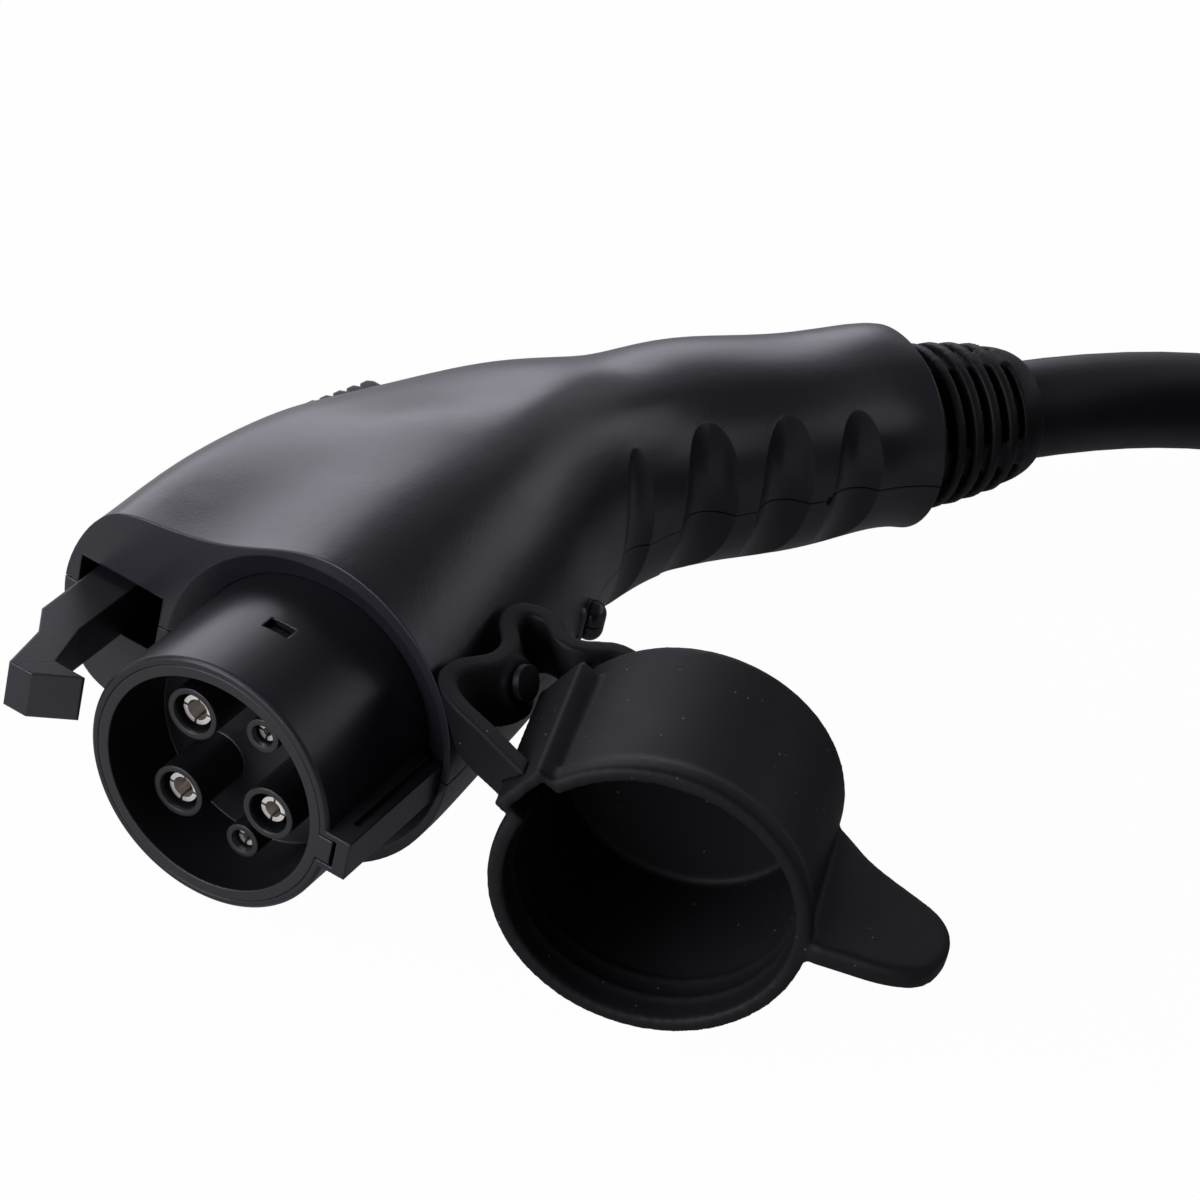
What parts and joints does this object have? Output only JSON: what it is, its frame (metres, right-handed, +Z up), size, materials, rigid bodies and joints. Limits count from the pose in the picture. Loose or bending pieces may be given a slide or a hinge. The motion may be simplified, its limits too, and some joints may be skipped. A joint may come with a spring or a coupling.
{
  "type": "electric vehicle charging connector",
  "caption": "Angled charging connector with a keyed round barrel, contact sockets, thumb latch, finger-grooved grip, strain relief, coiled cable and a tethered rubber cap.",
  "frame": {"origin": "centre of the barrel's mouth, on the barrel's axis", "axes": "+Y from the mouth back along the barrel, +X to the finger side, -X to the latch and thumb side, +Z up: the connector lies on its side and its two halves part at Z = 0"},
  "size_m": [0.3605, 0.3591, 0.0712],
  "materials": {
    "housing": "satin black injection-moulded plastic",
    "barrel": "glossy black injection-moulded plastic",
    "carrier": "black glass-filled plastic",
    "contact_metal": "silver-plated copper alloy",
    "latch": "satin black plastic",
    "steel": "ground steel",
    "spring_steel": "spring wire",
    "circuit_board": "green solder mask",
    "switch_case": "black plastic",
    "screw_steel": "plated steel",
    "cable_jacket": "matt black jacket",
    "crimp_metal": "plain metal",
    "boot_rubber": "matt black rubber",
    "cap_rubber": "matt black rubber",
    "anchor_plastic": "black plastic",
    "line_insulation": "brown insulation with a bare crimped end",
    "neutral_insulation": "blue insulation with a bare crimped end",
    "ground_insulation": "green insulation with a bare crimped end",
    "pilot_insulation": "orange insulation with a bare crimped end",
    "proximity_insulation": "white insulation with a bare crimped end"
  },
  "bodies": {
    "connector": {"housing_upper": "housing", "housing_lower": "housing", "barrel_sleeve": "barrel", "contact_carrier": "carrier", "contact_retainer": "carrier", "latch_pivot_pin": "steel", "latch_spring": "spring_steel", "proximity_board": "circuit_board", "proximity_switch": "switch_case", "housing_screws": "screw_steel", "cable_inner_end": "cable_jacket", "cable_crimp_ring": "crimp_metal", "cable_boot": "boot_rubber", "cable": "cable_jacket", "cable_coil": "cable_jacket", "strap_anchor": "anchor_plastic", "line_contact": "contact_metal", "line_conductor": "line_insulation", "line_lead": "line_insulation", "neutral_contact": "contact_metal", "neutral_conductor": "neutral_insulation", "neutral_lead": "neutral_insulation", "ground_contact": "contact_metal", "ground_conductor": "ground_insulation", "ground_lead": "ground_insulation", "pilot_contact": "contact_metal", "pilot_conductor": "pilot_insulation", "pilot_lead": "pilot_insulation", "proximity_contact": "contact_metal", "proximity_conductor": "proximity_insulation", "proximity_lead": "proximity_insulation"},
    "latch": {"latch_lever": "latch"},
    "cap": {"protective_cap": "cap_rubber", "cap_strap": "cap_rubber"}
  },
  "joints": [
    {"name": "latch_pivot", "type": "hinge", "parent": "connector", "child": "latch", "pos_m": [-0.036, 0.052, 0], "axis": [0, 0, -1], "range_deg": [0, 4.2], "stiffness_Nm_per_rad": 2.5, "springref_deg": -4.58, "deforming": ["latch_spring"]},
    {"name": "cap_swing", "type": "hinge", "parent": "connector", "child": "cap", "pos_m": [0.02905, 0.0374, 0.01515], "axis": [0.8851, 0, 0.4654], "range_deg": [-10, 40]}
  ]
}
